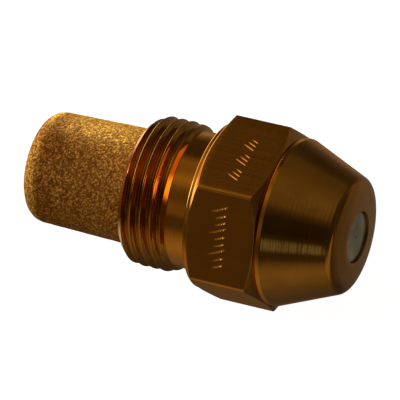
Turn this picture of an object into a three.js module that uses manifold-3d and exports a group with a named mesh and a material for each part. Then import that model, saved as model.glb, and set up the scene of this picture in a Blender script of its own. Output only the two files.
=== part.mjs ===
// Oil burner nozzle: a brass body with a spanner hexagon, a coned nose and a screwed end, an orifice disc in its nose,
// a slotted distributor, a threaded pin that holds the distributor against the disc, and a sintered filter cup
// on a threaded collar. Millimetres, +Z up. The nozzle's axis is X, with the spray end towards +X and a flat
// of the hexagon facing down. The origin is on the axis, half way along the whole length.
import * as THREE from "three";
import { mergeVertices } from "three/addons/utils/BufferGeometryUtils.js";
import Module from "manifold-3d";

const wasm = await Module();
wasm.setup();

// Driving dimensions. A station is a distance along the axis, forward of the hexagon's rear corners.

// Hexagon: 16 mm across flats, with a turned washer face behind it and chamfers at both ends.
const ACROSS_FLATS = 16;
const HEX_CORNER_LENGTH = 5.4;
const WASHER_RADIUS = 7.9;
const WASHER_STATION = -1.18;
const WASHER_LIP = 0.42;
const REAR_CHAMFER_ANGLE = 30;
const FRONT_CHAMFER_ANGLE = 26;

// External thread, 9/16"-24 UNEF: 14.29 mm over the crests.
const THREAD_RADIUS = 7.14;
const THREAD_PITCH = 25.4 / 24;
const THREAD_DEPTH = 0.6;
const THREAD_ROOT_WIDTH = 0.24;
const THREAD_FLANK = 30;
const THREAD_START = -9.1;
const THREAD_END = -3.95;
const THREAD_RUNOUT = 0.35;
const REAR_STATION = -8.45;
const RIM_CHAMFER = 0.7;
const NECK_RADIUS = 6.5;

// Nose: a cone of 45 degrees included angle, a rounded edge, and an end face that rises towards the disc.
const CONE_BASE_RADIUS = 7.97;
const CONE_BASE_STATION = 6.2;
const CONE_START = 6.65;
const CONE_HALF_ANGLE = 22.4;
const NOSE_EDGE_STATION = 12.62;
const NOSE_EDGE_RADIUS = 0.76;
const NOSE_MOUTH_STATION = 13.14;
const NOSE_HOLE_RADIUS = 2.45;

// Stepped bore of the body, from the filter's seat to the disc's shoulder.
const FILTER_BORE_RADIUS = 5.75;
const FILTER_SHOULDER = -7.2;
const SCREW_BORE_RADIUS = 4.5;
const SCREW_BORE_END = 1.6;
const GUIDE_BORE_RADIUS = 3.9;
const DISC_BORE_RADIUS = 3.5;
const DISC_BORE_START = 9.7;
const DISC_SHOULDER = 11.9;

// Orifice disc: a flange behind the shoulder, a boss that fills the nose hole, and a conical seat.
const DISC_CLEARANCE = 0.08;
const DISC_RECESS = 0.2;
const DISC_REAR = 9.9;
const DISC_SEAT_RADIUS = 2.5;
const ORIFICE_RADIUS = 0.15;
const SEAT_GAP = 0.08;

// Distributor: a cylinder with a 45 degree cone and four tangential slots.
const DISTRIBUTOR_RADIUS = 3.4;
const DISTRIBUTOR_REAR = 6.4;
const DISTRIBUTOR_TIP_RADIUS = 0.4;
const SLOT_COUNT = 4;
const SLOT_WIDTH = 0.4;
const SLOT_OFFSET = 0.75;

// Screw pin: an M9 x 1 thread, a plain shank, an oilway and a screwdriver slot.
const PIN_REAR = -6.4;
const PIN_THREAD_RADIUS = 4.35;
const PIN_THREAD_END = -0.6;
const PIN_PITCH = 1;
const PIN_THREAD_DEPTH = 0.5;
const PIN_SHANK_RADIUS = 3.1;
const PIN_FRONT = 6.3;
const PIN_OILWAY_RADIUS = 1.2;
const PIN_OILWAY_END = 4.4;
const CROSS_HOLE_RADIUS = 0.7;
const CROSS_HOLE_STATION = 3.2;
const SCREWDRIVER_SLOT = { width: 1.3, depth: 1.4 };

// Filter collar: a threaded spigot in the pin's socket, a flange, and a boss in the filter's mouth.
const SOCKET_RADIUS = 2.85;
const SOCKET_END = -3.2;
const SPIGOT_RADIUS = 2.7;
const SPIGOT_END = -3.5;
const COLLAR_RADIUS = 5.3;
const COLLAR_FRONT = -7.3;
const COLLAR_REAR = -7.8;
const BOSS_RADIUS = 3.4;
const BOSS_END = -11;
const COLLAR_BORE_RADIUS = 1.4;

// Sintered filter: a drafted cup with a rounded closed end.
const FILTER_TIP = -19.3;
const FILTER_TIP_RADIUS = 5.3;
const FILTER_MOUTH = -7.95;
const FILTER_MOUTH_RADIUS = 5.58;
const FILTER_EDGE_RADIUS = 1.5;
const FILTER_BORE = 3.5;
const FILTER_FLOOR = 1.9;

// Facets round the visible surfaces, round the inner pieces, and round small holes.
const FACETS = 36;
const INNER_FACETS = 24;
const HOLE_FACETS = 12;
const MERGE = 1e-4;
const PAST = 1; // how far a cutter reaches past the surface that it cuts

const radians = THREE.MathUtils.degToRad;
const slope = (angle) => Math.tan(radians(angle));

// A closed three.js geometry as a manifold-3d solid.
function solid(geometry) {
  const bare = geometry.clone();
  bare.deleteAttribute("normal");
  bare.deleteAttribute("uv");
  const merged = mergeVertices(bare, MERGE);
  const index = merged.index.array;
  const triVerts = [];
  for (let i = 0; i < index.length; i += 3) {
    const [a, b, c] = index.slice(i, i + 3);
    if (a !== b && b !== c && c !== a) triVerts.push(a, b, c);
  }
  return new wasm.Manifold(
    new wasm.Mesh({
      numProp: 3,
      vertProperties: merged.attributes.position.array,
      triVerts: new Uint32Array(triVerts),
    }),
  );
}

// A manifold-3d solid as a three.js geometry.
function geometryOf(made) {
  const mesh = made.getMesh();
  const geometry = new THREE.BufferGeometry();
  geometry.setAttribute("position", new THREE.BufferAttribute(mesh.vertProperties, mesh.numProp));
  geometry.setIndex(new THREE.BufferAttribute(mesh.triVerts, 1));
  return geometry;
}

// Twice the signed area of an outline of [station, radius] points, closed from its last point to its first.
function signedArea(outline) {
  return outline.reduce((sum, [x, y], i) => {
    const [nextX, nextY] = outline[(i + 1) % outline.length];
    return sum + x * nextY - nextX * y;
  }, 0);
}

// A solid turned about the axis from [station, radius] points, which start and end on the axis or close on themselves.
function turned(outline, facets = FACETS) {
  const ordered = signedArea(outline) < 0 ? outline : [...outline].reverse();
  const points = ordered.map(([station, radius]) => new THREE.Vector2(radius, station));
  return solid(new THREE.LatheGeometry(points, facets).rotateZ(-Math.PI / 2));
}

// An arc of the given radius in place of an outline's corner, touching both of the corner's sides.
function rounded(before, corner, after, radius, steps = 5) {
  const at = new THREE.Vector2(...corner);
  const a = new THREE.Vector2(...before).sub(at).normalize();
  const b = new THREE.Vector2(...after).sub(at).normalize();
  const half = Math.acos(a.dot(b)) / 2;
  const centre = a.clone().add(b).setLength(radius / Math.sin(half)).add(at);
  const start = a.multiplyScalar(radius / Math.tan(half)).add(at).sub(centre);
  const end = b.multiplyScalar(radius / Math.tan(half)).add(at).sub(centre);
  const sweep = Math.atan2(start.cross(end), start.dot(end));
  return Array.from({ length: steps + 1 }, (_, i) =>
    start.clone().rotateAround(new THREE.Vector2(), (sweep * i) / steps).add(centre).toArray(),
  );
}

// A round rod across the axis at a station, turned to an angle about the axis.
function crossRod(station, radius, length, angle) {
  const rod = new THREE.CylinderGeometry(radius, radius, length, HOLE_FACETS);
  return solid(rod.rotateX(angle).translate(station, 0, 0));
}

// The cutter of a right-handed thread's groove: a trapezium with its narrow side at the root, swept along a helix.
// It runs from a station for at least a length, in whole facets, so that its steps meet those of the turned blank.
function threadGroove({ from, length, pitch, crestRadius, depth, rootWidth, facets }) {
  const clearance = 0.05;
  const steps = Math.ceil((length / pitch) * facets);
  const turns = steps / facets;
  const groove = new THREE.BoxGeometry(1, 1, 1, 1, 1, steps);
  const position = groove.attributes.position;
  for (let i = 0; i < position.count; i++) {
    const along = position.getZ(i) + 0.5;
    const height = position.getY(i) > 0 ? depth + clearance : 0;
    const width = rootWidth + 2 * height * slope(THREAD_FLANK);
    const station = from + along * turns * pitch + position.getX(i) * width;
    const radius = crestRadius - depth + height;
    const angle = 2 * Math.PI * turns * along;
    position.setXYZ(i, station, radius * Math.cos(angle), radius * Math.sin(angle));
  }
  return solid(groove);
}

// The hexagon with its corners turned off at both ends.
function hexagon() {
  const inscribed = ACROSS_FLATS / 2;
  const cornerRadius = inscribed / Math.cos(Math.PI / 6);
  const reach = cornerRadius + PAST;
  const front = CONE_BASE_STATION;
  const length = front - WASHER_STATION;
  const prism = new THREE.CylinderGeometry(cornerRadius, cornerRadius, length, 6);
  prism.rotateZ(-Math.PI / 2).rotateX(Math.PI / 2).translate(WASHER_STATION + length / 2, 0, 0);
  const envelope = turned([
    [WASHER_STATION, 0],
    [WASHER_STATION, WASHER_RADIUS],
    [WASHER_STATION + WASHER_LIP, WASHER_RADIUS],
    [WASHER_STATION + WASHER_LIP + (reach - WASHER_RADIUS) * slope(REAR_CHAMFER_ANGLE), reach],
    [HEX_CORNER_LENGTH - PAST * slope(FRONT_CHAMFER_ANGLE), reach],
    [front, cornerRadius - (front - HEX_CORNER_LENGTH) / slope(FRONT_CHAMFER_ANGLE)],
    [front, 0],
  ]);
  return solid(prism).intersect(envelope);
}

// Everything on the body that is turned: the screwed end, neck, washer face, crease, cone and nose.
function turnedBody() {
  const creaseDepth = 0.35;
  const rimStart = [REAR_STATION, THREAD_RADIUS - RIM_CHAMFER];
  const rimEnd = [REAR_STATION + RIM_CHAMFER, THREAD_RADIUS];
  const coneAt = (station) => CONE_BASE_RADIUS - (station - CONE_START) * slope(CONE_HALF_ANGLE);
  const noseEdge = [NOSE_EDGE_STATION, coneAt(NOSE_EDGE_STATION)];
  const noseMouth = [NOSE_MOUTH_STATION, NOSE_HOLE_RADIUS];
  return turned([
    [REAR_STATION, 0],
    ...rounded([REAR_STATION, 0], rimStart, rimEnd, 0.25, 2),
    ...rounded(rimStart, rimEnd, [THREAD_END, THREAD_RADIUS], 0.6, 2),
    [THREAD_END, THREAD_RADIUS],
    [THREAD_END + THREAD_RUNOUT, NECK_RADIUS],
    [WASHER_STATION, NECK_RADIUS],
    [WASHER_STATION, WASHER_RADIUS],
    [WASHER_STATION + WASHER_LIP, WASHER_RADIUS],
    [CONE_BASE_STATION - creaseDepth, CONE_BASE_RADIUS - creaseDepth],
    ...rounded([CONE_START - 1, CONE_BASE_RADIUS - 1], [CONE_BASE_STATION, CONE_BASE_RADIUS],
      [CONE_START, CONE_BASE_RADIUS], 0.15, 2),
    ...rounded([CONE_BASE_STATION, CONE_BASE_RADIUS], [CONE_START, CONE_BASE_RADIUS], noseEdge, 0.5, 2),
    ...rounded([CONE_START, CONE_BASE_RADIUS], noseEdge, noseMouth, NOSE_EDGE_RADIUS),
    noseMouth,
    [NOSE_MOUTH_STATION, 0],
  ]);
}

function nozzleBody() {
  const bore = turned([
    [REAR_STATION - PAST, 0],
    [REAR_STATION - PAST, FILTER_BORE_RADIUS],
    [FILTER_SHOULDER, FILTER_BORE_RADIUS],
    [FILTER_SHOULDER, SCREW_BORE_RADIUS],
    [SCREW_BORE_END, SCREW_BORE_RADIUS],
    [SCREW_BORE_END + SCREW_BORE_RADIUS - GUIDE_BORE_RADIUS, GUIDE_BORE_RADIUS],
    [DISC_BORE_START, GUIDE_BORE_RADIUS],
    [DISC_BORE_START + GUIDE_BORE_RADIUS - DISC_BORE_RADIUS, DISC_BORE_RADIUS],
    [DISC_SHOULDER, DISC_BORE_RADIUS],
    [DISC_SHOULDER, NOSE_HOLE_RADIUS],
    [NOSE_MOUTH_STATION + PAST, NOSE_HOLE_RADIUS],
    [NOSE_MOUTH_STATION + PAST, 0],
  ]);
  const thread = threadGroove({
    from: THREAD_START,
    length: THREAD_END - THREAD_START + THREAD_PITCH,
    pitch: THREAD_PITCH,
    crestRadius: THREAD_RADIUS,
    depth: THREAD_DEPTH,
    rootWidth: THREAD_ROOT_WIDTH,
    facets: FACETS,
  });
  return turnedBody().add(hexagon()).subtract(thread).subtract(bore);
}

function orificeDisc() {
  const flangeRadius = DISC_BORE_RADIUS - DISC_CLEARANCE;
  const bossRadius = NOSE_HOLE_RADIUS - DISC_CLEARANCE;
  const shoulder = DISC_SHOULDER - DISC_CLEARANCE;
  const face = NOSE_MOUTH_STATION - DISC_RECESS;
  return turned([
    [DISC_REAR, DISC_SEAT_RADIUS],
    [DISC_REAR, flangeRadius],
    [shoulder, flangeRadius],
    [shoulder, bossRadius],
    [face, bossRadius],
    [face, ORIFICE_RADIUS],
    [DISC_REAR + DISC_SEAT_RADIUS - ORIFICE_RADIUS, ORIFICE_RADIUS],
    [DISC_REAR, DISC_SEAT_RADIUS],
  ], INNER_FACETS);
}

function distributor() {
  const seatStep = SEAT_GAP * Math.SQRT2;
  const coneStart = DISC_REAR - seatStep - 0.1;
  const coneRadius = DISC_SEAT_RADIUS + 0.1;
  const tip = coneStart + coneRadius - DISTRIBUTOR_TIP_RADIUS;
  let made = turned([
    [DISTRIBUTOR_REAR, 0],
    [DISTRIBUTOR_REAR, DISTRIBUTOR_RADIUS],
    [DISC_REAR - 0.6, DISTRIBUTOR_RADIUS],
    [coneStart, coneRadius],
    [tip, DISTRIBUTOR_TIP_RADIUS],
    [tip, 0],
  ], INNER_FACETS);
  const slotLength = 3.2;
  for (let i = 0; i < SLOT_COUNT; i++) {
    const slot = new THREE.BoxGeometry(slotLength, SLOT_WIDTH, SLOT_WIDTH);
    slot.rotateY(Math.PI / 4).translate(coneStart + 1, SLOT_OFFSET, coneRadius - 1);
    made = made.subtract(solid(slot.rotateX((2 * Math.PI * i) / SLOT_COUNT)));
  }
  return made;
}

function screwPin() {
  const blank = turned([
    [SOCKET_END, SOCKET_RADIUS],
    [PIN_REAR, SOCKET_RADIUS],
    [PIN_REAR, PIN_THREAD_RADIUS - PIN_THREAD_DEPTH],
    [PIN_REAR + PIN_THREAD_DEPTH, PIN_THREAD_RADIUS],
    [PIN_THREAD_END, PIN_THREAD_RADIUS],
    [PIN_THREAD_END + PIN_THREAD_RADIUS - PIN_SHANK_RADIUS, PIN_SHANK_RADIUS],
    [PIN_FRONT - 0.4, PIN_SHANK_RADIUS],
    [PIN_FRONT, PIN_SHANK_RADIUS - 0.4],
    [PIN_FRONT, 0],
    [PIN_OILWAY_END, 0],
    [PIN_OILWAY_END - PIN_OILWAY_RADIUS / 2, PIN_OILWAY_RADIUS],
    [SOCKET_END, PIN_OILWAY_RADIUS],
    [SOCKET_END, SOCKET_RADIUS],
  ], INNER_FACETS);
  const thread = threadGroove({
    from: PIN_REAR - 0.1,
    length: PIN_THREAD_END - PIN_REAR + PIN_PITCH,
    pitch: PIN_PITCH,
    crestRadius: PIN_THREAD_RADIUS,
    depth: PIN_THREAD_DEPTH,
    rootWidth: 0.25,
    facets: INNER_FACETS,
  });
  const slot = new THREE.BoxGeometry(2 * SCREWDRIVER_SLOT.depth, SCREWDRIVER_SLOT.width, 4 * PIN_THREAD_RADIUS);
  const cross = [0, Math.PI / 2].map((angle) =>
    crossRod(CROSS_HOLE_STATION, CROSS_HOLE_RADIUS, 2 * PIN_SHANK_RADIUS + PAST, angle));
  return blank
    .subtract(thread)
    .subtract(solid(slot.translate(PIN_REAR, 0, 0)))
    .subtract(cross[0])
    .subtract(cross[1]);
}

function filterCollar() {
  return turned([
    [SPIGOT_END, COLLAR_BORE_RADIUS],
    [SPIGOT_END, SPIGOT_RADIUS - 0.3],
    [SPIGOT_END - 0.3, SPIGOT_RADIUS],
    [COLLAR_FRONT, SPIGOT_RADIUS],
    [COLLAR_FRONT, COLLAR_RADIUS],
    [COLLAR_REAR, COLLAR_RADIUS],
    [COLLAR_REAR, BOSS_RADIUS],
    [BOSS_END, BOSS_RADIUS],
    [BOSS_END, COLLAR_BORE_RADIUS],
    [SPIGOT_END, COLLAR_BORE_RADIUS],
  ], INNER_FACETS);
}

function sinteredFilter() {
  const floor = FILTER_TIP + FILTER_FLOOR;
  const tipCorner = [FILTER_TIP, FILTER_TIP_RADIUS];
  const mouthCorner = [FILTER_MOUTH, FILTER_MOUTH_RADIUS];
  return turned([
    [floor, 0],
    ...rounded([floor, 0], [floor, FILTER_BORE], [FILTER_MOUTH, FILTER_BORE], 1, 3),
    [FILTER_MOUTH, FILTER_BORE],
    mouthCorner,
    ...rounded(mouthCorner, tipCorner, [FILTER_TIP, 0], FILTER_EDGE_RADIUS, 6),
    [FILTER_TIP, 0],
  ], FACETS);
}

const brass = () => new THREE.MeshStandardMaterial({ color: 0x9c7434, roughness: 0.32, metalness: 1 });
const steel = () => new THREE.MeshStandardMaterial({ color: 0x8f8b84, roughness: 0.4, metalness: 1 });
const bronze = () => new THREE.MeshStandardMaterial({ color: 0xa9743f, roughness: 0.75, metalness: 0.7 });

function piece(name, made, material) {
  const mesh = new THREE.Mesh(geometryOf(made), material);
  mesh.name = name;
  return mesh;
}

// The filter and its collar come off the pin as one unit.
const filterUnit = new THREE.Group();
filterUnit.add(piece("filter_collar", filterCollar(), brass()));
filterUnit.add(piece("sintered_filter", sinteredFilter(), bronze()));

const nozzle = new THREE.Group();
nozzle.add(piece("nozzle_body", nozzleBody(), brass()));
nozzle.add(piece("orifice_disc", orificeDisc(), steel()));
nozzle.add(piece("distributor", distributor(), steel()));
nozzle.add(piece("screw_pin", screwPin(), brass()));
nozzle.add(filterUnit);
nozzle.position.x = -(NOSE_MOUTH_STATION + FILTER_TIP) / 2;

const assembly = new THREE.Group();
assembly.add(nozzle);
export default assembly;
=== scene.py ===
"""Oil burner nozzle: the looks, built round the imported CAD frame.

Every piece is turned about the nozzle's axis, which is X. Shapes are worked out in millimetres, as
[station, radius] points: a station is a distance along the axis, forward of the hexagon's rear corners.
The frame says where that is.
"""

import math

import bmesh
import bpy
import numpy as np
from mathutils import Matrix, Vector, noise


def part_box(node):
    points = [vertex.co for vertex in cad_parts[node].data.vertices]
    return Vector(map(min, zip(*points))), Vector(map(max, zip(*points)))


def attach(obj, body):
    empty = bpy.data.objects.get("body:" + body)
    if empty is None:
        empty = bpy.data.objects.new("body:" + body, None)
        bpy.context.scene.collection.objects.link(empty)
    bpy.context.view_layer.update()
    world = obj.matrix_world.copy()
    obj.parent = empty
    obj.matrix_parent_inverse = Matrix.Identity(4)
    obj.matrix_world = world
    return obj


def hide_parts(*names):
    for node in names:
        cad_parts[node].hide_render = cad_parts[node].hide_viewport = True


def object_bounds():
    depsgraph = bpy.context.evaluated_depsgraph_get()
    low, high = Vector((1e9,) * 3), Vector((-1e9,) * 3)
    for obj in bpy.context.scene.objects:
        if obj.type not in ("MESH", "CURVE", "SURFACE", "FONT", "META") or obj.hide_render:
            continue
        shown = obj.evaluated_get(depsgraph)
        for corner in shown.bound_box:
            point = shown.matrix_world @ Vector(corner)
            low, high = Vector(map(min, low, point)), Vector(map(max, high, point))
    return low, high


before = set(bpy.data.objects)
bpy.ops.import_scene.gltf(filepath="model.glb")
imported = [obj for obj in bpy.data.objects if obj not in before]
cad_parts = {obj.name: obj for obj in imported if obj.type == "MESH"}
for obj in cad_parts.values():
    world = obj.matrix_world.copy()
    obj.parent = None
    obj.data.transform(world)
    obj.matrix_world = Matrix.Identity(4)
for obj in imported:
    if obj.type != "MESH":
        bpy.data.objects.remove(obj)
cad_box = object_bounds()

MM = 0.001

# Boxes of the CAD nodes, from which the main sizes come.
BODY_LOW, BODY_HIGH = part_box("nozzle_body")
FILTER_LOW, FILTER_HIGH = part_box("sintered_filter")
DISC_LOW, DISC_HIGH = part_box("orifice_disc")
CONE_LOW, CONE_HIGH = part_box("distributor")
PIN_LOW, PIN_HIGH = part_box("screw_pin")
COLLAR_LOW, COLLAR_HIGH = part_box("filter_collar")

# Usual roundings of a turned corner. Sizes are in millimetres unless they say otherwise.
EDGE = 0.1
FINE_EDGE = 0.05

# The body's hexagon and the washer face behind it.
APOTHEM = BODY_HIGH.z / MM
NOSE_MOUTH = 13.14
DATUM = BODY_HIGH.x / MM - NOSE_MOUTH  # where station 0 is along X
REAR = BODY_LOW.x / MM - DATUM
HEX_CORNER_LENGTH = 5.4
HEX_CORNER_ROUND = 0.45
HEX_EDGE_ROUND = 0.09
HEX_ROWS = 8  # mesh rows along a flat
HEX_COLUMNS = 48  # mesh columns across a flat
REAR_CHAMFER = math.radians(30)
FRONT_CHAMFER = math.radians(26)
WASHER = -1.18
WASHER_RADIUS = 7.9
WASHER_LIP = 0.42
WASHER_ROUND = 0.15

# The neck and the outside thread. The last ridge beside the neck is lower than the others.
NECK_RADIUS = 6.5
NECK_FILLET = 0.12
THREAD_RADIUS = 7.14
THREAD_PITCH = 25.4 / 24
THREAD_START = -9.1
THREAD_DEPTH = 0.62
THREAD_END = -3.95
THREAD_RUNOUT = 0.35
LAST_RIDGE_LENGTH = 0.8
LAST_RIDGE_DROP = 0.2
RIM_CHAMFER = 0.7
RIM_ROUND = 0.5
RIM_REAR_ROUND = 0.2
THREAD_LOW = REAR + 0.12
THREAD_HIGH = THREAD_END + THREAD_RUNOUT + 0.1
THREAD_ROWS = 28  # mesh rows to each turn of the thread

# The nose.
CREASE = 6.07
CREASE_RADIUS = 7.87
CONE_BASE = 6.22
CONE_BASE_RADIUS = 7.97
CONE_START = 6.65
CONE_START_ROUND = 0.35
CONE_ANGLE = math.radians(22.4)
NOSE_EDGE = 12.62
NOSE_EDGE_ROUND = 0.82
NOSE_SHOULDER = 12.92
NOSE_SHOULDER_RADIUS = 4.6
NOSE_SHOULDER_ROUND = 3.5
NOSE_HOLE = 2.45
NOSE_HOLE_DEPTH = 0.5

# The stamped strokes: a pointed V groove, whose cutter stands out of the flat by a share of its depth.
STROKE_WIDTH = 0.17
STROKE_DEPTH = 0.04
STROKE_CLEAR = 0.6
STROKE_STRETCH = 1.2  # how much longer the cutter is at its top
STROKE_SLANT = math.radians(24)
STROKE_SHARP = math.radians(15)

# The body's stepped bore.
FILTER_BORE = 5.75
FILTER_SHOULDER = -7.2
SCREW_BORE = 4.5
SCREW_BORE_START = 0.2  # from the filter's shoulder to the inner thread
SCREW_BORE_END = 1.6
GUIDE_BORE = 3.9
DISC_BORE = 3.5
DISC_BORE_START = 9.7
DISC_SHOULDER = 11.9

# The orifice disc.
ORIFICE = 0.14
SEAT_RADIUS = 2.5
DISC_PLAY = 0.08
DISC_DOME = 0.06

# The distributor: its cone has sides of 45 degrees, and the slots are cut along them, beside the axis.
CONE_TIP = 0.4
CONE_LENGTH = 2.2
CONE_LAND = 0.5
SWIRL_SLOTS = 4
SWIRL_SLOT = (3.2, 0.4, 0.4)
SWIRL_OFFSET = 0.75
SWIRL_MIDDLE = 1.0  # how far forward of the cone's start a slot's middle is, and how far in

# The screw pin.
PIN_RADIUS = PIN_HIGH.z / MM
PIN_REAR = PIN_LOW.x / MM - DATUM
PIN_START = PIN_REAR - 0.1
PIN_PITCH = 1.0
PIN_THREAD_DEPTH = 0.5
PIN_THREAD_END = -0.6
PIN_THREAD_PLAY = 0.1
PIN_SHANK = 3.1
PIN_SHANK_CHAMFER = 0.4
PIN_OILWAY = 1.2
PIN_OILWAY_END = 4.4
PIN_SLOT_DEPTH = 1.4
PIN_SLOT_WIDTH = 1.3
SOCKET_RADIUS = 2.85
SOCKET_END = -3.2
CROSS_HOLE = 0.7
CROSS_HOLE_AT = 3.2

# The filter's collar.
SPIGOT = 2.7
SPIGOT_CHAMFER = 0.3
SPIGOT_PITCH = 0.75
SPIGOT_THREAD_START = -3.5
SPIGOT_THREAD_DEPTH = 0.35
COLLAR_FRONT = -7.3
COLLAR_REAR = -7.8
COLLAR_BOSS = 3.4
COLLAR_BORE = 1.4

# The sintered filter, its grains, and the light and shade painted along it.
FILTER_TIP_RADIUS = 5.3
FILTER_CORNER = 1.5
FILTER_INNER = 3.5
FILTER_FLOOR = 1.9
FILTER_STEP = 0.065
FILTER_COLUMNS = 520
GRAIN = 0.135
GRAIN_RELIEF = 0.03
GRAIN_SWELL = 1.15  # how soon a grain falls away from its middle to the pore beside it
GRAIN_HASH = 7.31  # spreads the grains' middles, so that each grain draws a tone of its own
COARSE = 0.9
COARSE_RELIEF = 0.03
PAINTED_LIGHT = (1.0, 0.36, 0.46, 0.80)  # painted light and shade on the bronze's colour: at its tip, behind it, further on, at its mouth
PAINTED_LIGHT_AT = (-0.3, 0.5, 2.0)  # where the first three are, from the end of the tip's rounded corner
PAINTED_LIGHT_WANDER = 0.35  # how far the borders of the painted light wander
PAINTED_LIGHT_SPREAD = 0.15  # how much the painted light varies along them

# Meshes.
MERGE = 2e-8  # metres
SHARP = math.radians(38)
THREAD_STEP = 0.1
BORE_STEP = 0.09
INNER_THREAD_STEP = 0.05
PLAIN_STEP = 0.5
ROD_SIDES = 32


# Outlines -----------------------------------------------------------------------------------------

def rounded(before, corner, after, radius, steps):
    """Points of an arc that replaces a corner and touches both of its sides."""
    before, corner, after = Vector(before), Vector(corner), Vector(after)
    a, b = (before - corner).normalized(), (after - corner).normalized()
    half = a.angle(b) / 2
    centre = corner + (a + b).normalized() * (radius / math.sin(half))
    start = corner + a * (radius / math.tan(half)) - centre
    end = corner + b * (radius / math.tan(half)) - centre
    sweep = math.atan2(start.x * end.y - start.y * end.x, start.dot(end))
    points = []
    for i in range(steps + 1):
        spoke = start.copy()
        spoke.rotate(Matrix.Rotation(sweep * i / steps, 2))
        points.append(tuple(centre + spoke))
    return points


def soften(corners, closed=False):
    """An outline from [station, radius, rounding] corners, with an arc where the rounding isn't 0."""
    outline = []
    count = len(corners)
    for i, (station, radius, rounding) in enumerate(corners):
        inner = closed or 0 < i < count - 1
        if rounding and inner:
            before = corners[(i - 1) % count][:2]
            after = corners[(i + 1) % count][:2]
            outline += rounded(before, (station, radius), after, rounding, 4)
        else:
            outline.append((station, radius))
    return outline


def subdivide(outline, longest):
    """The same outline with no straight stretch longer than that."""
    points = [outline[0]]
    for (x0, r0), (x1, r1) in zip(outline, outline[1:]):
        steps = max(1, math.ceil(math.hypot(x1 - x0, r1 - r0) / longest))
        points += [(x0 + (x1 - x0) * i / steps, r0 + (r1 - r0) * i / steps) for i in range(1, steps + 1)]
    return points


def thread_depth(station, angle, start, pitch, depth):
    """How far a right-handed V thread with rounded crests and roots lies under its crests at a place."""
    crest_round, root_round = 0.05, 0.07
    phase = ((station - start) / pitch - angle / (2 * math.pi)) % 1.0
    from_root = np.minimum(phase, 1 - phase) * pitch
    from_crest = pitch / 2 - from_root
    slope = depth / (pitch / 2 - crest_round - root_round)
    near_crest = slope * (np.hypot(from_crest, crest_round) - crest_round)
    near_root = depth - slope * (np.hypot(from_root, root_round) - root_round)
    return np.where(from_crest < pitch / 4, near_crest, near_root)


# Meshes -------------------------------------------------------------------------------------------

def even_angles(count):
    """Angles once round the axis. The last is the first again, so that a thread can run on past it."""
    return np.arange(count + 1) * (2 * math.pi / count)


def hexagon_angles():
    """Angles once round the axis, crowded towards the hexagon's corners."""
    half = HEX_COLUMNS // 2
    crowded = math.pi / 6 * (np.arange(half) / half) ** 1.6
    side = np.concatenate([crowded, [math.pi / 6], math.pi / 3 - crowded[:0:-1]])
    return np.concatenate([side + k * math.pi / 3 for k in range(6)] + [[2 * math.pi]])


def surface(name, columns, angles, closed, sharp=SHARP):
    """A piece from one outline for each angle round the axis. An open outline starts and ends on it."""
    columns = np.asarray(columns, float)
    count, rows = columns.shape[:2]
    station, radius = columns[:, :, 0] + DATUM, columns[:, :, 1]
    turn = angles[:, None]
    points = np.stack([station, radius * np.cos(turn), radius * np.sin(turn)], axis=2)
    here = np.arange(count - 1)[:, None] * rows
    there = here + rows
    row = np.arange(rows if closed else rows - 1)[None, :]
    after = (row + 1) % rows
    faces = np.stack([here + row, there + row, there + after, here + after], axis=2)
    mesh = bpy.data.meshes.new(name)
    mesh.from_pydata((points.reshape(-1, 3) * MM).tolist(), [], faces.reshape(-1, 4).tolist())
    work = bmesh.new()
    work.from_mesh(mesh)
    bmesh.ops.remove_doubles(work, verts=work.verts, dist=MERGE)
    bmesh.ops.recalc_face_normals(work, faces=work.faces)
    finish_mesh(work, mesh, sharp)
    return in_scene(name, mesh)


def finish_mesh(work, mesh, sharp=SHARP):
    """Writes a bmesh back with smooth faces, and with its edges over an angle kept sharp."""
    for face in work.faces:
        face.smooth = True
    for edge in work.edges:
        edge.smooth = edge.calc_face_angle(0) < sharp
    work.to_mesh(mesh)
    work.free()


def in_scene(name, data):
    """A new object of that mesh, camera or light."""
    made = bpy.data.objects.new(name, data)
    bpy.context.scene.collection.objects.link(made)
    return made


def turned(name, outline, columns=192, closed=False):
    """A piece with the same outline all round."""
    return surface(name, [outline] * (columns + 1), even_angles(columns), closed)


def cut(piece, cutters):
    """Cuts the cutters out of a piece and removes them."""
    for cutter in cutters:
        modifier = piece.modifiers.new("cut", "BOOLEAN")
        modifier.object = cutter
        modifier.solver = "EXACT"
    shape = bpy.context.evaluated_depsgraph_get()
    made = bpy.data.meshes.new_from_object(piece.evaluated_get(shape))
    piece.modifiers.clear()
    piece.data = made
    work = bmesh.new()
    work.from_mesh(made)
    finish_mesh(work, made)
    for cutter in cutters:
        bpy.data.objects.remove(cutter)


def from_bmesh(name, work):
    """A new object of a bmesh, which is freed."""
    mesh = bpy.data.meshes.new(name)
    work.to_mesh(mesh)
    work.free()
    return in_scene(name, mesh)


def rod(radius, start, end):
    """A cutter: a round rod from one point to another, in millimetres."""
    start, end = Vector(start), Vector(end)
    along = end - start
    work = bmesh.new()
    bmesh.ops.create_cone(work, cap_ends=True, segments=ROD_SIDES, radius1=radius * MM,
                          radius2=radius * MM, depth=along.length * MM)
    turn = along.to_track_quat("Z", "Y").to_matrix().to_4x4()
    place = Matrix.Translation((start + end) / 2 * MM) @ turn
    bmesh.ops.transform(work, matrix=place, verts=work.verts)
    return from_bmesh("rod", work)


def block(size, place):
    """A cutter: a box of that size in millimetres, put in its place by a matrix in metres."""
    work = bmesh.new()
    bmesh.ops.create_cube(work, size=1)
    scale = Matrix.Diagonal((*(Vector(size) * MM), 1))
    bmesh.ops.transform(work, matrix=place @ scale, verts=work.verts)
    return from_bmesh("block", work)


# The nozzle body ----------------------------------------------------------------------------------

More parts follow.
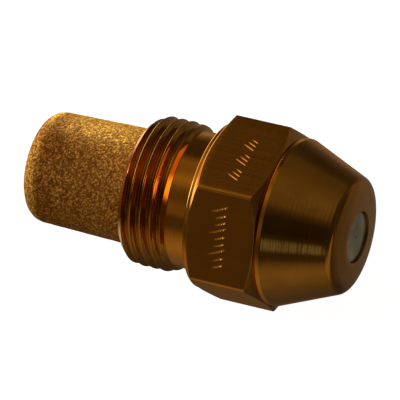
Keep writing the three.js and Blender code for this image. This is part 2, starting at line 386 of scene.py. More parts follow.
def hexagon_radius(angle):
    """Distance from the axis to the hexagon, with its long corners rounded."""
    off = abs((angle + math.pi / 6) % (math.pi / 3) - math.pi / 6)
    centre = (APOTHEM - HEX_CORNER_ROUND) / math.cos(math.pi / 6)
    reach = math.atan2(HEX_CORNER_ROUND / 2, centre + HEX_CORNER_ROUND * math.cos(math.pi / 6))
    if off < reach:
        return centre * math.cos(off) + math.sqrt(HEX_CORNER_ROUND ** 2 - (centre * math.sin(off)) ** 2)
    return APOTHEM / math.cos(math.pi / 6 - off)


def nose_outline():
    """From the mouth of the nose hole to the crease in front of the hexagon."""
    edge_radius = CONE_BASE_RADIUS - (NOSE_EDGE - CONE_START) * math.tan(CONE_ANGLE)
    corners = [
        (NOSE_MOUTH - NOSE_HOLE_DEPTH, NOSE_HOLE, 0),
        (NOSE_MOUTH, NOSE_HOLE, FINE_EDGE),
        (NOSE_SHOULDER, NOSE_SHOULDER_RADIUS, NOSE_SHOULDER_ROUND),
        (NOSE_EDGE, edge_radius, NOSE_EDGE_ROUND),
        (CONE_START, CONE_BASE_RADIUS, CONE_START_ROUND),
        (CONE_BASE, CONE_BASE_RADIUS, EDGE),
        (CREASE, CREASE_RADIUS, 0),
    ]
    return subdivide(soften(corners), 0.6)[1:]


def hexagon_outline(angle):
    """From the crease to the washer face, at one angle: front chamfer, flat, rear chamfer, washer lip."""
    radius = hexagon_radius(angle)
    corner = APOTHEM / math.cos(math.pi / 6)
    lip_at = WASHER + WASHER_LIP
    front = (HEX_CORNER_LENGTH + (corner - radius) * math.tan(FRONT_CHAMFER), radius)
    rear = (lip_at + (radius - WASHER_RADIUS) * math.tan(REAR_CHAMFER), radius)
    lip = (lip_at, WASHER_RADIUS)
    washer = (WASHER, WASHER_RADIUS)
    points = []
    points += rounded((CREASE, CREASE_RADIUS), front, rear, HEX_EDGE_ROUND, 4)
    points += [(front[0] + (rear[0] - front[0]) * i / HEX_ROWS, radius) for i in range(1, HEX_ROWS)]
    points += rounded(front, rear, lip, HEX_EDGE_ROUND, 4)
    points += rounded(rear, lip, washer, FINE_EDGE, 3)
    points += rounded(lip, washer, (WASHER, NECK_RADIUS), WASHER_ROUND, 6)
    return points


def screwed_outline():
    """From the washer face to the rear face, uncut, as the stretches before, in and after the thread."""
    corners = [
        (WASHER, WASHER_RADIUS, 0),
        (WASHER, NECK_RADIUS, NECK_FILLET),
        (THREAD_END + THREAD_RUNOUT, NECK_RADIUS, EDGE),
        (THREAD_END, THREAD_RADIUS - LAST_RIDGE_DROP, FINE_EDGE),
        (THREAD_END - LAST_RIDGE_LENGTH, THREAD_RADIUS, FINE_EDGE),
        (REAR + RIM_CHAMFER, THREAD_RADIUS, RIM_ROUND),
        (REAR, THREAD_RADIUS - RIM_CHAMFER, RIM_REAR_ROUND),
        (REAR, FILTER_BORE, EDGE),
        (FILTER_SHOULDER, FILTER_BORE, 0),
    ]
    outline = np.array(subdivide(soften(corners)[1:-1], THREAD_STEP))
    outside = outline[:, 1] > FILTER_BORE + 0.3
    before = outline[outline[:, 0] >= THREAD_HIGH]
    inside = outline[(outline[:, 0] < THREAD_HIGH) & (outline[:, 0] > THREAD_LOW) & outside]
    after = outline[len(before) + len(inside):]
    return before, np.concatenate([before[-1:], inside, after[:1]]), after


def threaded(angle, blank):
    """The thread's points at one angle. Each row keeps its place on the thread, which carries it forward.

    There are rows to spare at both ends, and they are held at the ends of the threaded stretch.
    """
    turns = math.ceil((THREAD_HIGH - THREAD_LOW) / THREAD_PITCH) + 3
    place = np.arange(turns * THREAD_ROWS, -1, -1) / THREAD_ROWS - 2 + angle / (2 * math.pi)
    station = np.clip(THREAD_START + place * THREAD_PITCH, THREAD_LOW, THREAD_HIGH)
    plain = np.interp(station, blank[::-1, 0], blank[::-1, 1])
    cut_to = THREAD_RADIUS - thread_depth(station, angle, THREAD_START, THREAD_PITCH, THREAD_DEPTH)
    return np.stack([station, np.minimum(plain, cut_to)], axis=1)


def bore_outline():
    """From the filter's bore forward to the nose hole."""
    corners = [
        (FILTER_SHOULDER, FILTER_BORE, 0),
        (FILTER_SHOULDER, SCREW_BORE, 0.15),
        (SCREW_BORE_END, SCREW_BORE, EDGE),
        (SCREW_BORE_END + SCREW_BORE - GUIDE_BORE, GUIDE_BORE, EDGE),
        (DISC_BORE_START, GUIDE_BORE, 0),
        (DISC_BORE_START + GUIDE_BORE - DISC_BORE, DISC_BORE, 0),
        (DISC_SHOULDER, DISC_BORE, EDGE),
        (DISC_SHOULDER, NOSE_HOLE, 0),
    ]
    return np.array(subdivide(soften(corners), BORE_STEP))


def body_column(angle, nose, screwed, bore):
    """The body's whole closed outline at one angle, with both threads cut."""
    before, blank, after = screwed
    inner = bore.copy()
    depth = thread_depth(inner[:, 0], angle, PIN_START, PIN_PITCH, PIN_THREAD_DEPTH)
    crests = PIN_RADIUS + PIN_THREAD_PLAY - depth
    tapped = (inner[:, 0] > FILTER_SHOULDER + SCREW_BORE_START) & (inner[:, 0] < SCREW_BORE_END)
    inner[:, 1] = np.where(tapped, np.minimum(inner[:, 1], crests), inner[:, 1])
    return np.concatenate([nose, hexagon_outline(angle), before, threaded(angle, blank), after, inner])


def flat_direction(number):
    """Which way one of the hexagon's flats faces: the first is on top, the next nearer the camera."""
    turn = math.pi / 2 + number * math.pi / 3
    return Vector((0, math.cos(turn), math.sin(turn)))


def on_flats(place):
    """Whether a place, in metres, is at or just under one of the hexagon's flats."""
    station = place.x / MM - DATUM
    reach = max(place.dot(flat_direction(number)) for number in range(6)) / MM
    return WASHER < station < CREASE - 0.2 and APOTHEM - 1.5 * STROKE_DEPTH < reach < APOTHEM + 0.01


def stroke(work, flat, station, across, length, slant):
    """Adds a cutter for one stamped stroke to a bmesh. The slant is from the nozzle's axis."""
    facing = flat_direction(flat)
    aside = Vector((0, facing.z, -facing.y))
    along = Vector((math.cos(slant), 0, 0)) + aside * math.sin(slant)
    sideways = facing.cross(along)
    middle = Vector((station + DATUM, 0, 0)) + facing * APOTHEM + aside * across
    half = length / 2
    shoulder = half - STROKE_WIDTH
    outline = [(end * half, 0) for end in (-1, 1)]
    outline += [(end * shoulder, side * STROKE_WIDTH / 2) for end in (-1, 1) for side in (-1, 1)]
    clear = STROKE_DEPTH * STROKE_CLEAR
    corners = [(a * STROKE_STRETCH, b * (1 + STROKE_CLEAR), clear) for a, b in outline]
    corners += [(end * shoulder, 0, -STROKE_DEPTH) for end in (-1, 1)]
    verts = [work.verts.new((middle + along * a + sideways * b + facing * c) * MM) for a, b, c in corners]
    bmesh.ops.convex_hull(work, input=verts)


def stamped_strokes():
    """Plain slanted strokes in the place of the stamped marks on two flats."""
    work = bmesh.new()
    for i in range(9):
        station, length = (2.4, 1.8) if i % 3 == 0 else (2.6, 1.2)
        stroke(work, 1, station, 2.8 - 0.7 * i, length, STROKE_SLANT)
    for group in (-2.3, -0.4, 1.5):
        for i in range(3):
            stroke(work, 0, 2.7 + 0.15 * i, group + 0.42 * i - 0.4, 1.3 - 0.25 * i, -STROKE_SLANT)
    return from_bmesh("strokes", work)


def make_body():
    """The turned body, with the strokes cut into its flats and their edges kept crisp."""
    angles = hexagon_angles()
    nose, screwed, bore = nose_outline(), screwed_outline(), bore_outline()
    columns = [body_column(angle, nose, screwed, bore) for angle in angles]
    made = surface("body_turning", columns, angles, closed=True)
    cut(made, [stamped_strokes()])
    work = bmesh.new()
    work.from_mesh(made.data)
    for edge in work.edges:
        if edge.calc_face_angle(0) > STROKE_SHARP and all(on_flats(vert.co) for vert in edge.verts):
            edge.smooth = False
    work.to_mesh(made.data)
    work.free()
    return made


# Inner pieces -------------------------------------------------------------------------------------

def with_thread(outline, angles, outside, radius, start, pitch, depth):
    """The outline at each angle with a thread cut into it, where outside says that it is threaded."""
    columns = []
    for angle in angles:
        column = outline.copy()
        root = radius - thread_depth(column[:, 0], angle, start, pitch, depth)
        column[:, 1] = np.where(outside, np.minimum(column[:, 1], root), column[:, 1])
        columns.append(column)
    return columns


def make_disc():
    """The flanged disc, with a conical seat behind its orifice and a face that rises a little towards it."""
    flange, rear, face = DISC_HIGH.z / MM, DISC_LOW.x / MM - DATUM, DISC_HIGH.x / MM - DATUM
    shoulder, boss = DISC_SHOULDER - DISC_PLAY, NOSE_HOLE - DISC_PLAY
    corners = [
        (rear, SEAT_RADIUS, 0.04),
        (rear, flange, 0.12),
        (shoulder, flange, EDGE),
        (shoulder, boss, FINE_EDGE),
        (face - DISC_DOME, boss, 0.04),
        (face, ORIFICE, 0.02),
        (rear + SEAT_RADIUS - ORIFICE, ORIFICE, 0),
    ]
    return turned("disc_lapped", subdivide(soften(corners, closed=True), PLAIN_STEP), closed=True)


def make_distributor():
    """The cone, with slots beside its axis that set the oil spinning."""
    rear, radius = CONE_LOW.x / MM - DATUM, CONE_HIGH.z / MM
    tip = CONE_HIGH.x / MM - DATUM
    cone_start, cone_radius = tip - CONE_LENGTH, CONE_TIP + CONE_LENGTH
    corners = [
        (rear, 0, 0),
        (rear, radius, 0.2),
        (cone_start - CONE_LAND, radius, 0.2),
        (cone_start, cone_radius, FINE_EDGE),
        (tip, CONE_TIP, FINE_EDGE),
        (tip, 0, 0),
    ]
    made = turned("distributor_cone", subdivide(soften(corners), PLAIN_STEP), 128)
    lean = Matrix.Rotation(math.pi / 4, 4, "Y")
    middle = Vector((cone_start + DATUM + SWIRL_MIDDLE, SWIRL_OFFSET, cone_radius - SWIRL_MIDDLE)) * MM
    slots = []
    for i in range(SWIRL_SLOTS):
        turn = Matrix.Rotation(2 * math.pi / SWIRL_SLOTS * i, 4, "X")
        slots.append(block(SWIRL_SLOT, turn @ Matrix.Translation(middle) @ lean))
    cut(made, slots)
    return made


def make_pin():
    """The threaded pin: a socket for the collar, an oilway, cross holes and a screwdriver slot."""
    front = PIN_HIGH.x / MM - DATUM
    root_radius = PIN_RADIUS - PIN_THREAD_DEPTH
    corners = [
        (PIN_OILWAY_END, 0, 0),
        (PIN_OILWAY_END - PIN_OILWAY / 2, PIN_OILWAY, 0),
        (SOCKET_END, PIN_OILWAY, FINE_EDGE),
        (SOCKET_END, SOCKET_RADIUS, EDGE),
        (PIN_REAR, SOCKET_RADIUS, EDGE),
        (PIN_REAR, root_radius, EDGE),
        (PIN_REAR + PIN_THREAD_DEPTH, PIN_RADIUS, EDGE),
        (PIN_THREAD_END, PIN_RADIUS, EDGE),
        (PIN_THREAD_END + PIN_RADIUS - PIN_SHANK, PIN_SHANK, 0.2),
        (front - PIN_SHANK_CHAMFER, PIN_SHANK, EDGE),
        (front, PIN_SHANK - PIN_SHANK_CHAMFER, EDGE),
        (front, 0, 0),
    ]
    outline = np.array(subdivide(soften(corners), INNER_THREAD_STEP))
    angles = even_angles(180)
    outside = outline[:, 1] > root_radius - FINE_EDGE
    thread = (PIN_RADIUS, PIN_START, PIN_PITCH, PIN_THREAD_DEPTH)
    columns = with_thread(outline, angles, outside, *thread)
    made = surface("pin_turning", columns, angles, closed=False)
    hole = CROSS_HOLE_AT + DATUM
    reach = PIN_SHANK + 1
    slot_place = Matrix.Translation(Vector((PIN_REAR + DATUM, 0, 0)) * MM)
    cutters = [
        rod(CROSS_HOLE, (hole, -reach, 0), (hole, reach, 0)),
        rod(CROSS_HOLE, (hole, 0, -reach), (hole, 0, reach)),
        block((2 * PIN_SLOT_DEPTH, PIN_SLOT_WIDTH, 4 * PIN_RADIUS), slot_place),
    ]
    cut(made, cutters)
    return made


def make_collar():
    """The flanged collar: its spigot screws into the pin, and its boss is pressed into the filter."""
    spigot_end, boss_end = COLLAR_HIGH.x / MM - DATUM, COLLAR_LOW.x / MM - DATUM
    flange = COLLAR_HIGH.z / MM
    corners = [
        (spigot_end, COLLAR_BORE, EDGE),
        (spigot_end, SPIGOT - SPIGOT_CHAMFER, FINE_EDGE),
        (spigot_end - SPIGOT_CHAMFER, SPIGOT, FINE_EDGE),
        (COLLAR_FRONT, SPIGOT, EDGE),
        (COLLAR_FRONT, flange, EDGE),
        (COLLAR_REAR, flange, EDGE),
        (COLLAR_REAR, COLLAR_BOSS, EDGE),
        (boss_end, COLLAR_BOSS, 0.3),
        (boss_end, COLLAR_BORE, EDGE),
    ]
    outline = np.array(subdivide(soften(corners, closed=True), INNER_THREAD_STEP))
    angles = even_angles(128)
    outside = (outline[:, 0] > COLLAR_FRONT + 0.5) & (outline[:, 1] > SPIGOT - 0.4)
    thread = (SPIGOT, SPIGOT_THREAD_START, SPIGOT_PITCH, SPIGOT_THREAD_DEPTH)
    columns = with_thread(outline, angles, outside, *thread)
    return surface("collar_turning", columns, angles, closed=True)


# The sintered filter ------------------------------------------------------------------------------

def make_filter():
    """The cup, with the bulge of every bronze grain on its outside.

    Its colour attribute holds each grain's own tone, the painted light and shade along the cup, and how near
    a pore is, for painted shade in the pores.
    """
    tip, mouth = FILTER_LOW.x / MM - DATUM, FILTER_HIGH.x / MM - DATUM
    floor = tip + FILTER_FLOOR
    inside = [
        (floor, 0, 0),
        (floor, FILTER_INNER, 1),
        (mouth, FILTER_INNER, 0),
    ]
    outside = [
        (mouth, FILTER_INNER, 0),
        (mouth, FILTER_HIGH.z / MM, 0.08),
        (tip, FILTER_TIP_RADIUS, FILTER_CORNER),
        (tip, 0, 0),
    ]
    outline = subdivide(soften(inside), 0.4)[:-1] + subdivide(soften(outside), FILTER_STEP)
    columns = [outline] * (FILTER_COLUMNS + 1)
    made = surface("filter_cup", columns, even_angles(FILTER_COLUMNS), closed=False, sharp=math.pi)
    mesh = made.data
    places = [vertex.co / MM for vertex in mesh.vertices]
    normals = [vertex.normal.copy() for vertex in mesh.vertices]
    painted_light_stations = (*(tip + FILTER_CORNER + past for past in PAINTED_LIGHT_AT), mouth)
    moved, tones_and_painted_light = [], []
    for place, normal in zip(places, normals):
        station = place.x - DATUM
        inner = math.hypot(place.y, place.z) < FILTER_INNER + 0.05 and station > floor - 0.2
        distances, centres = noise.voronoi(place / GRAIN)
        # How near a pore is: it sinks the surface there, and darkens it as painted shade.
        deep = 0.5 if inner else min(1.0, distances[0] * GRAIN_SWELL)
        own = noise.cell(centres[0] * GRAIN_HASH)
        coarse = noise.noise(place / COARSE)
        sink = 0 if inner else GRAIN_RELIEF * deep * deep + COARSE_RELIEF * (0.5 + 0.5 * coarse)
        moved += tuple((place - normal * sink) * MM)
        # Painted light and shade: a factor on the bronze's colour, paler at the tip's rounded corner and
        # towards the mouth, darker between.
        painted_light = np.interp(station + PAINTED_LIGHT_WANDER * coarse, painted_light_stations, PAINTED_LIGHT) + PAINTED_LIGHT_SPREAD * coarse
        # Each grain's own tone, the painted light along the cup, and the nearness of a pore for painted
        # shade.
        tones_and_painted_light += (own, painted_light, deep, 1.0)
    mesh.vertices.foreach_set("co", moved)
    mesh.update()
    tone = mesh.attributes.new("grain_and_painted_light", "FLOAT_COLOR", "POINT")
    tone.data.foreach_set("color", tones_and_painted_light)
    return made


# Materials ----------------------------------------------------------------------------------------

# A metal's name, the dark and light of its film, its roughness, and its tool marks: how many to a metre,
# how deep in metres, and whether they run lengthwise.
METALS = (
    ("turned_brass", (0.56, 0.21, 0.025, 1), (0.66, 0.25, 0.035, 1), 0.10, 4200.0, 0.00002, False),
    ("drawn_brass", (0.60, 0.22, 0.025, 1), (0.66, 0.25, 0.03, 1), 0.18, 4000.0, 0.000001, True),
    ("plain_brass", (0.60, 0.34, 0.10, 1), (0.70, 0.42, 0.14, 1), 0.3, 7000.0, 0.000005, False),
    ("lapped_steel", (0.54, 0.46, 0.34, 1), (1.0, 0.91, 0.72, 1), 0.5, 5000.0, 0.000004, False),
    ("hardened_steel", (0.42, 0.42, 0.43, 1), (0.52, 0.52, 0.53, 1), 0.28, 8000.0, 0.00001, False),
    # The nose hole's wall: rougher brass, darkened as painted shade in the recess.
    ("painted_shade_brass", (0.30, 0.135, 0.030, 1), (0.38, 0.16, 0.034, 1), 0.35, 5000.0, 0.000004, False),
)
MARK_LENGTHS = 30.0  # how often a tool mark changes along its own length, to a metre
DRAWN_MARK_LENGTHS = 40.0
FILM_SCALE = 420.0
FILM_RANGE = (0.35, 0.7)
ROUGH_RANGE = (0.7, 1.4)  # how far the tool marks take the roughness down and up
SPECK_SCALE = 8000.0
SPECK_RANGE = (0.2, 0.8)
BRONZE_TONES = ((0.30, 0.082, 0.008, 1), (1.0, 0.37, 0.06, 1))
# Painted shade in the pores: no change on a grain's middle, darker near a pore.
PAINTED_PORE_SHADE = ((1, 1, 1, 1), (0.45, 0.35, 0.3, 1))
# The painted light, from its darkest to its palest, as a factor on the bronze's colour.
PAINTED_LIGHT_TONES = ((0.56, 0.44, 0.38, 1), (1.25, 1.38, 1.5, 1))
BRONZE_METALLIC = 0.25
BRONZE_SPECULAR = 0.03
BRONZE_ROUGHNESS = 0.55


def node(tree, kind, inputs=None, **settings):
    """A new node with its settings, and with each input linked to a socket or set to a value."""
    made = tree.nodes.new(kind)
    for name, value in settings.items():
        setattr(made, name, value)
    for name, value in (inputs or {}).items():
        if isinstance(value, bpy.types.NodeSocket):
            tree.links.new(value, made.inputs[name])
        else:
            made.inputs[name].default_value = value
    return made


def math_node(tree, operation, first, second):
    """The result of one sum on two numbers."""
    return node(tree, "ShaderNodeMath", {0: first, 1: second}, operation=operation).outputs["Value"]


def dot(tree, direction, aim):
    """How far one direction goes along another."""
    inputs = {0: direction, 1: aim}
    return node(tree, "ShaderNodeVectorMath", inputs, operation="DOT_PRODUCT").outputs["Value"]


def blend(tree, share, first, second):
    """The first colour, with that share of the second."""
    return node(tree, "ShaderNodeMix", {0: share, 6: first, 7: second}, data_type="RGBA").outputs[2]


def multiplied(tree, first, second, share=1.0):
    """A colour multiplied by a share of another."""
    inputs = {0: share, 6: first, 7: second}
    return node(tree, "ShaderNodeMix", inputs, data_type="RGBA", blend_type="MULTIPLY").outputs[2]


def ramp(tree, factor, low, high, colours):
    """One colour up to a low factor, another from a high one, and a blend between them."""
    made = node(tree, "ShaderNodeValToRGB", {"Fac": factor})
    for element, place, colour in zip(made.color_ramp.elements, (low, high), colours):
        element.position = place
        element.color = colour
    return made.outputs["Color"]


def new_material(name):
    """A new material, its node tree and its shader."""
    material = bpy.data.materials.new(name)
    material.use_nodes = True
    tree = material.node_tree
    return material, tree, tree.nodes["Principled BSDF"]


def metal(name, dark, light, rough, marks_per_metre, mark_depth, lengthwise):
    """Metal with tool marks round the axis or along it, and a faint mottled film of oil and tarnish."""
    material, tree, shader = new_material(name)
    place = node(tree, "ShaderNodeTexCoord").outputs["Object"]
    if lengthwise:
        stretch = (DRAWN_MARK_LENGTHS, marks_per_metre, marks_per_metre)
    else:
        stretch = (marks_per_metre, MARK_LENGTHS, MARK_LENGTHS)
    along = node(tree, "ShaderNodeMapping", {"Vector": place, "Scale": stretch}).outputs["Vector"]
    mark_inputs = {"Vector": along, "Scale": 1.0, "Detail": 3.0}
    marks = node(tree, "ShaderNodeTexNoise", mark_inputs).outputs["Fac"]
    film_inputs = {"Vector": place, "Scale": FILM_SCALE, "Detail": 4.0}
    film = node(tree, "ShaderNodeTexNoise", film_inputs).outputs["Fac"]
    tint = ramp(tree, film, *FILM_RANGE, (dark, light))
    shader.inputs["Metallic"].default_value = 1.0
    tree.links.new(tint, shader.inputs["Base Color"])
    smoothest, roughest = (rough * factor for factor in ROUGH_RANGE)
    spread = node(tree, "ShaderNodeMapRange", {"Value": marks, "To Min": smoothest, "To Max": roughest})
    tree.links.new(spread.outputs["Result"], shader.inputs["Roughness"])
    bump = node(tree, "ShaderNodeBump", {"Height": marks, "Strength": 1.0, "Distance": mark_depth})
    tree.links.new(bump.outputs["Normal"], shader.inputs["Normal"])
    return material


def sinter_material():
    """Bronze grains: each has its own tone, with finer specks, the pores between them are darkened as
    painted shade, and painted light and shade vary along the cup.
    """
    material, tree, shader = new_material("sintered_bronze")
    grain_and_painted_light = node(tree, "ShaderNodeAttribute", attribute_name="grain_and_painted_light").outputs["Color"]
    parts = node(tree, "ShaderNodeSeparateColor", {"Color": grain_and_painted_light}).outputs
    place = node(tree, "ShaderNodeTexCoord").outputs["Object"]
    speck = node(tree, "ShaderNodeTexVoronoi", {"Vector": place, "Scale": SPECK_SCALE}).outputs["Color"]
    low, high = SPECK_RANGE
    dust = node(tree, "ShaderNodeMapRange", {"Value": speck, "From Min": low, "From Max": high})
    both = math_node(tree, "ADD", parts["Red"], dust.outputs["Result"])
    tone = ramp(tree, math_node(tree, "MULTIPLY", both, 0.5), 0.1, 0.9, BRONZE_TONES)
    # Painted shade, darker near the pores.
    painted_pore_shade = ramp(tree, parts["Blue"], 0.6, 1.0, PAINTED_PORE_SHADE)
    # Painted light and shade along the cup.
    painted_light = ramp(tree, parts["Green"], 0.3, 1.0, PAINTED_LIGHT_TONES)
    mixed = multiplied(tree, multiplied(tree, tone, painted_pore_shade), painted_light)
    shader.inputs["Metallic"].default_value = BRONZE_METALLIC
    shader.inputs["Specular IOR Level"].default_value = BRONZE_SPECULAR
    shader.inputs["Roughness"].default_value = BRONZE_ROUGHNESS
    tree.links.new(mixed, shader.inputs["Base Color"])
    return material


# The pieces, and what each rides on, replaces and takes its finish from ---------------------------

body = make_body()
metals = {facts[0]: metal(*facts) for facts in METALS}

PIECES = (
    (body, metals["turned_brass"], "body", "nozzle_body", "body_brass"),
    (make_disc(), metals["lapped_steel"], "body", "orifice_disc", "disc_steel"),
    (make_distributor(), metals["hardened_steel"], "distributor", "distributor", "distributor_steel"),
    (make_pin(), metals["plain_brass"], "screw_pin", "screw_pin", "pin_brass"),
    (make_collar(), metals["plain_brass"], "filter", "filter_collar", "collar_brass"),
    (make_filter(), sinter_material(), "filter", "sintered_filter", "sintered_bronze"),
)
for piece, material, carrier, stands_for, slot in PIECES:
    piece.data.materials.clear()
    piece.data.materials.append(material)
    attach(piece, carrier)
    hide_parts(stands_for)

# The hexagon's flats keep the finish of drawn bar, and the wall of the nose hole is rougher and darker, the
# dark being painted shade in the recess.
body.data.materials.append(metals["drawn_brass"])
body.data.materials.append(metals["painted_shade_brass"])
for face in body.data.polygons:
    station, radius = face.center.x / MM - DATUM, math.hypot(face.center.y, face.center.z) / MM
    squareness = max(face.normal.dot(flat_direction(number)) for number in range(6))
    if abs(face.normal.x) < 0.02 and squareness > 0.999 and WASHER < station < CREASE:
        face.material_index = 1
    # The nose hole's wall, darkened as painted shade.
    elif radius < NOSE_HOLE + 0.03 and station > DISC_SHOULDER:
        face.material_index = 2


# Studio -------------------------------------------------------------------------------------------

VIEW_SLANT = math.radians(21.3)  # how far the axis turns out of the picture, towards the camera
VIEW_ROLL = math.radians(13.1)  # how far the axis tips down to the right in the picture
VIEW_ROUND = math.radians(52)  # the camera's height round the axis, from level towards +Z
FIELD = 37.3  # width of the picture at the nozzle, mm
AIM_RIGHT, AIM_UP = -2.7, 0.7  # from the axis at station 0 to the picture's middle, mm
CAMERA_DISTANCE = 600.0
SENSOR = 36.0
NEAREST, FURTHEST = 0.05, 20  # what the camera can see, m

# Square to the axis: out towards the camera's side, and up.
OUTWARD = Vector((0, -math.cos(VIEW_ROUND), math.sin(VIEW_ROUND)))
UPWARD = Vector((0, math.sin(VIEW_ROUND), math.cos(VIEW_ROUND)))

FLOOR_SIZE = 3  # half its width, m
FLOOR_GREY = (0.3, 0.3, 0.3, 1)
FLOOR_GLOW = 0.98

# The studio's light is a long shell round the nozzle's axis. Each band is (turn about the axis, in
# degrees from OUTWARD towards UPWARD, brightness). The rear bands light what faces straight out, the
# front bands what leans forward like the cone, and the cap bands lie beyond the nozzle's two ends.
REAR_BANDS = (
    (-180, 0.14), (-150, 0.14), (-120, 0.26), (-98, 0.40), (-78, 0.32), (-60, 0.13), (-52, 0.075),
    (-38, 0.075), (-28, 0.18), (-18, 0.18), (0, 0.11), (12, 0.17), (20, 0.30), (28, 0.42), (36, 0.32),
    (44, 0.22), (60, 0.26), (68, 0.15), (76, 0.056), (100, 0.06), (114, 0.06), (130, 0.20), (146, 0.42),
    (160, 0.35), (180, 0.14),
)
FRONT_BANDS = (
    (-180, 0.13), (-165, 0.04), (-148, 0.06), (-114, 0.14), (-96, 0.20), (-86, 0.23), (-77, 0.20),
    (-68, 0.13), (-60, 0.045), (-50, 0.04), (-31, 0.04), (-20, 0.018), (2, 0.025), (12, 0.065),
    (20, 0.14), (40, 0.17), (59, 0.15), (76, 0.11), (96, 0.09), (106, 0.05), (120, 0.045), (134, 0.08),
    (148, 0.13), (160, 0.16), (180, 0.13),
)
FRONT_CAP = (
    (-180, 0.10), (-150, 0.05), (-128, 0.13), (-110, 0.28), (-80, 0.30), (-55, 0.10), (-35, 0.03),
    (0, 0.03), (35, 0.04), (80, 0.06), (105, 0.06), (128, 0.12), (150, 0.15), (180, 0.10),
)
REAR_CAP = (
    (-180, 1.00), (-160, 0.50), (-140, 0.15), (-20, 0.10), (0, 0.25), (20, 1.20), (60, 1.40), (100, 1.60),
    (130, 2.00), (160, 1.60), (180, 1.00),
)
REAR_TINT = (1.0, 0.84, 0.45, 1)
FRONT_TINT = (1.0, 0.98, 0.75, 1)
CAP_TINT = (1.0, 0.92, 0.6, 1)
BEHIND_TINT = (0.80, 0.55, 0.35, 1)

# Where one gives way to the next, as the forward part of a direction, from -1 to 1.
REAR_CAP_TO_REAR = (-0.62, -0.46)
REAR_TO_FRONT = (-0.28, -0.06)
FRONT_TO_FRONT_CAP = (0.44, 0.54)
NEAR_TO_BEHIND = (-0.70, -0.88)  # where the rear bands take on their tint far behind, as the outward part

# The spots on the shell, each with the angles in degrees at which it starts to fade and is gone.
KEY_TOWARDS = (-0.88, -0.20, 0.43)
KEY_SPREAD = (9, 19)
KEY_STRENGTH = 5.2
KEY_COLOUR = (0.90, 1.30, 1.80, 1)
SLOT_TOWARDS = (0.36, -0.913, 0.195)  # a small cool light, whose reflection the turning marks break up
SLOT_SPREAD = (1.0, 10.5)
SLOT_SIDES = (0.285, 0.345), (0.435, 0.375)
SLOT_COLOUR = (0.23, 0.32, 0.47, 1)
DARK_TOWARDS = (0.93, 0.37, -0.01)  # a dark patch beyond the nose, low behind it
DARK_SPREAD = (12.0, 28.0)
DARK_COLOUR = (0.045, 0.044, 0.034, 1)

# Lamps with narrow beams on the filter: name, direction to it, station that it shines on, watts.
LAMPS = (
    ("filter_lamp", (-0.60, 0.71, 0.36), -10.5, 1.9),
    ("filter_fill", (-0.86, -0.45, 0.20), -10.5, 0.2),
)
LAMP_COLOUR = (0.76, 1.18, 0.67)
LAMP_DISTANCE = 0.15  # m
LAMP_SIZE = 0.002  # m
LAMP_SPREAD = math.radians(5.4)


def make_camera():
    """The camera, with the nozzle's axis slanted towards it and tipped down to the right."""
    axis = Vector((1, 0, 0))
    view = axis * math.sin(VIEW_SLANT) + OUTWARD * math.cos(VIEW_SLANT)
    across = axis * math.cos(VIEW_SLANT) - OUTWARD * math.sin(VIEW_SLANT)
    right = across * math.cos(VIEW_ROLL) + UPWARD * math.sin(VIEW_ROLL)
    up = UPWARD * math.cos(VIEW_ROLL) - across * math.sin(VIEW_ROLL)
    aim = Vector((DATUM, 0, 0)) + right * AIM_RIGHT + up * AIM_UP
    data = bpy.data.cameras.new("camera")
    data.sensor_width = SENSOR
    data.lens = SENSOR * CAMERA_DISTANCE / FIELD
    data.clip_start, data.clip_end = NEAREST, FURTHEST
    camera = in_scene("camera", data)
    camera.matrix_world = Matrix((right, up, view)).transposed().to_4x4()
    camera.location = (aim + view * CAMERA_DISTANCE) * MM
    bpy.context.scene.camera = camera


def make_lamp(name, towards, station, watts):
    """A lamp with a narrow beam, which shines on the axis at a station."""
    data = bpy.data.lights.new(name, "SPOT")
    data.energy = watts
    data.color = LAMP_COLOUR
    data.shadow_soft_size = LAMP_SIZE
    data.spot_size = LAMP_SPREAD
    data.spot_blend = 1.0
    lamp = in_scene(name, data)
    towards = Vector(towards).normalized()
    lamp.location = Vector((DATUM + station, 0, 0)) * MM + towards * LAMP_DISTANCE
    lamp.rotation_euler = towards.to_track_quat("Z", "Y").to_euler()


def make_floor():
    """A pale floor under the hexagon's lower flat. It lights nothing, so the world alone is reflected."""
    work = bmesh.new()
    bmesh.ops.create_grid(work, x_segments=8, y_segments=8, size=FLOOR_SIZE)
    bmesh.ops.translate(work, vec=(0, 0, cad_box[0].z), verts=work.verts)
    floor = from_bmesh("floor", work)
    material, tree, shader = new_material("pale_floor")
    shader.inputs["Base Color"].default_value = FLOOR_GREY
    shader.inputs["Roughness"].default_value = 1.0
    shader.inputs["Emission Color"].default_value = (1, 1, 1, 1)
    shader.inputs["Emission Strength"].default_value = FLOOR_GLOW
    floor.data.materials.append(material)
    floor.visible_glossy = False
    floor.visible_diffuse = False
    floor.visible_shadow = False


def bands(tree, turn, stops):
    """Brightness as a function of the turn about the axis, whose range of a full turn is 0 to 1."""
    made = node(tree, "ShaderNodeValToRGB", {"Fac": turn})
    elements = made.color_ramp.elements
    elements.remove(elements[0])
    for i, (angle, level) in enumerate(stops):
        place = angle / 360 + 0.5
        stop = elements[0] if i == 0 else elements.new(place)
        stop.position = place
        stop.color = (level, level, level, 1)
    return made.outputs["Color"]


def smooth_step(tree, value, low, high):
    """0 up to the low value, 1 from the high one, and smooth between them."""
    return node(tree, "ShaderNodeMapRange", {"Value": value, "From Min": low, "From Max": high},
                interpolation_type="SMOOTHSTEP").outputs["Result"]


def disc_of_light(tree, direction, towards, inner, outer):
    """1 within the inner angle of a direction, falling to 0 at the outer one."""
    facing = dot(tree, direction, tuple(Vector(towards).normalized()))
    return smooth_step(tree, facing, math.cos(math.radians(outer)), math.cos(math.radians(inner)))


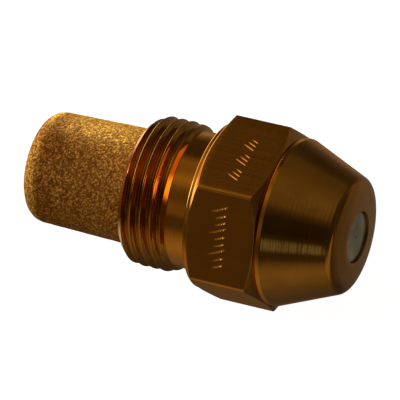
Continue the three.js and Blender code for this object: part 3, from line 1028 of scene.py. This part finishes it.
def make_world():
    """The studio's light, all of it as a function of direction."""
    world = bpy.data.worlds.new("studio")
    world.use_nodes = True
    tree = world.node_tree
    direction = node(tree, "ShaderNodeTexCoord").outputs["Generated"]
    near = dot(tree, direction, tuple(OUTWARD))
    high = dot(tree, direction, tuple(UPWARD))
    forward = node(tree, "ShaderNodeSeparateXYZ", {0: direction}).outputs["X"]
    angle = math_node(tree, "ARCTAN2", high, near)
    full_turn = {"Value": angle, "From Min": -math.pi, "From Max": math.pi}
    turn = node(tree, "ShaderNodeMapRange", full_turn).outputs["Result"]
    rear, front, front_cap, rear_cap = (
        bands(tree, turn, stops) for stops in (REAR_BANDS, FRONT_BANDS, FRONT_CAP, REAR_CAP)
    )
    behind = smooth_step(tree, near, *NEAR_TO_BEHIND)
    rear = multiplied(tree, multiplied(tree, rear, REAR_TINT), BEHIND_TINT, behind)
    rear_cap = multiplied(tree, rear_cap, CAP_TINT)
    front = blend(tree, smooth_step(tree, forward, *FRONT_TO_FRONT_CAP), front, front_cap)
    front = multiplied(tree, front, FRONT_TINT)
    shell = blend(tree, smooth_step(tree, forward, *REAR_CAP_TO_REAR), rear_cap, rear)
    shell = blend(tree, smooth_step(tree, forward, *REAR_TO_FRONT), shell, front)
    dark = disc_of_light(tree, direction, DARK_TOWARDS, *DARK_SPREAD)
    shell = blend(tree, dark, shell, DARK_COLOUR)
    slot = disc_of_light(tree, direction, SLOT_TOWARDS, *SLOT_SPREAD)
    for none, full in SLOT_SIDES:
        slot = math_node(tree, "MULTIPLY", slot, smooth_step(tree, forward, none, full))
    shell = blend(tree, slot, shell, SLOT_COLOUR)
    key = disc_of_light(tree, direction, KEY_TOWARDS, *KEY_SPREAD)
    shell = blend(tree, key, shell, KEY_COLOUR)
    strength = node(tree, "ShaderNodeMapRange", {"Value": key, "To Min": 1.0, "To Max": KEY_STRENGTH})
    background = tree.nodes["Background"]
    tree.links.new(shell, background.inputs["Color"])
    tree.links.new(strength.outputs["Result"], background.inputs["Strength"])
    bpy.context.scene.world = world


make_camera()
for lamp in LAMPS:
    make_lamp(*lamp)
make_floor()
make_world()
bpy.context.scene.view_settings.view_transform = "Standard"
